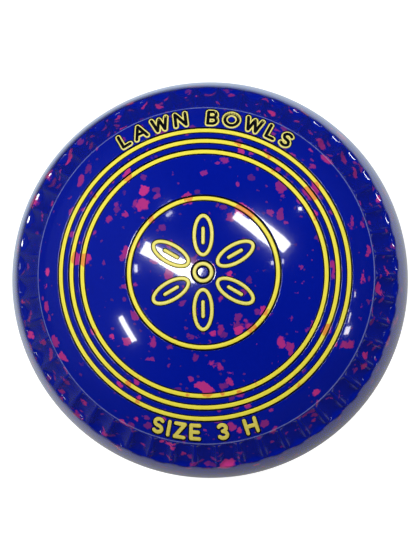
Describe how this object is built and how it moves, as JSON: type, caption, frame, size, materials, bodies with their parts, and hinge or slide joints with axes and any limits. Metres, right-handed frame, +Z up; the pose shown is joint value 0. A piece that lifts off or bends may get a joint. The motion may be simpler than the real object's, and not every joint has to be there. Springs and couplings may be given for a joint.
{
  "type": "lawn bowl",
  "caption": "Biased lawn bowl of resin, a flattened ball with a band of finger grips round each shoulder and engraved, enamel-filled rings, rosette and plain lettering.",
  "frame": {"origin": "on the surface the bowl rests on, under the middle of its lower face", "axes": "+Z up along the bowl's turning axis, out of the upper (non-bias) face; +Y towards the word arc, -Y towards the size mark of the upper face"},
  "size_m": [0.122, 0.122, 0.11],
  "materials": {
    "shell_resin": "polished blue resin with magenta flecks",
    "core_resin": "plain dark moulded resin, not seen from outside",
    "enamel": "yellow enamel wiped into the engraving"
  },
  "bodies": {
    "root": {"core": "core_resin", "lower_emblem_ring": "enamel", "lower_petal_1": "enamel", "lower_petal_2": "enamel", "lower_petal_3": "enamel", "lower_petal_4": "enamel", "lower_petal_5": "enamel", "lower_petal_6": "enamel", "lower_ring_inner": "enamel", "lower_ring_middle": "enamel", "lower_ring_outer": "enamel", "lower_size_1_S": "enamel", "lower_size_2_I": "enamel", "lower_size_3_Z": "enamel", "lower_size_4_E": "enamel", "lower_size_5_3": "enamel", "lower_size_6_H": "enamel", "lower_word_1_L": "enamel", "lower_word_2_A": "enamel", "lower_word_3_W": "enamel", "lower_word_4_N": "enamel", "lower_word_5_B": "enamel", "lower_word_6_O": "enamel", "lower_word_7_W": "enamel", "lower_word_8_L": "enamel", "lower_word_9_S": "enamel", "shell_lower": "shell_resin", "shell_upper": "shell_resin", "upper_emblem_ring": "enamel", "upper_petal_1": "enamel", "upper_petal_2": "enamel", "upper_petal_3": "enamel", "upper_petal_4": "enamel", "upper_petal_5": "enamel", "upper_petal_6": "enamel", "upper_petal_vein_1": "enamel", "upper_petal_vein_2": "enamel", "upper_petal_vein_3": "enamel", "upper_petal_vein_4": "enamel", "upper_petal_vein_5": "enamel", "upper_petal_vein_6": "enamel", "upper_ring_inner": "enamel", "upper_ring_middle": "enamel", "upper_ring_outer": "enamel", "upper_rosette_centre": "enamel", "upper_size_1_S": "enamel", "upper_size_2_I": "enamel", "upper_size_3_Z": "enamel", "upper_size_4_E": "enamel", "upper_size_5_3": "enamel", "upper_size_6_H": "enamel", "upper_word_1_L": "enamel", "upper_word_2_A": "enamel", "upper_word_3_W": "enamel", "upper_word_4_N": "enamel", "upper_word_5_B": "enamel", "upper_word_6_O": "enamel", "upper_word_7_W": "enamel", "upper_word_8_L": "enamel", "upper_word_9_S": "enamel"}
  },
  "joints": []
}
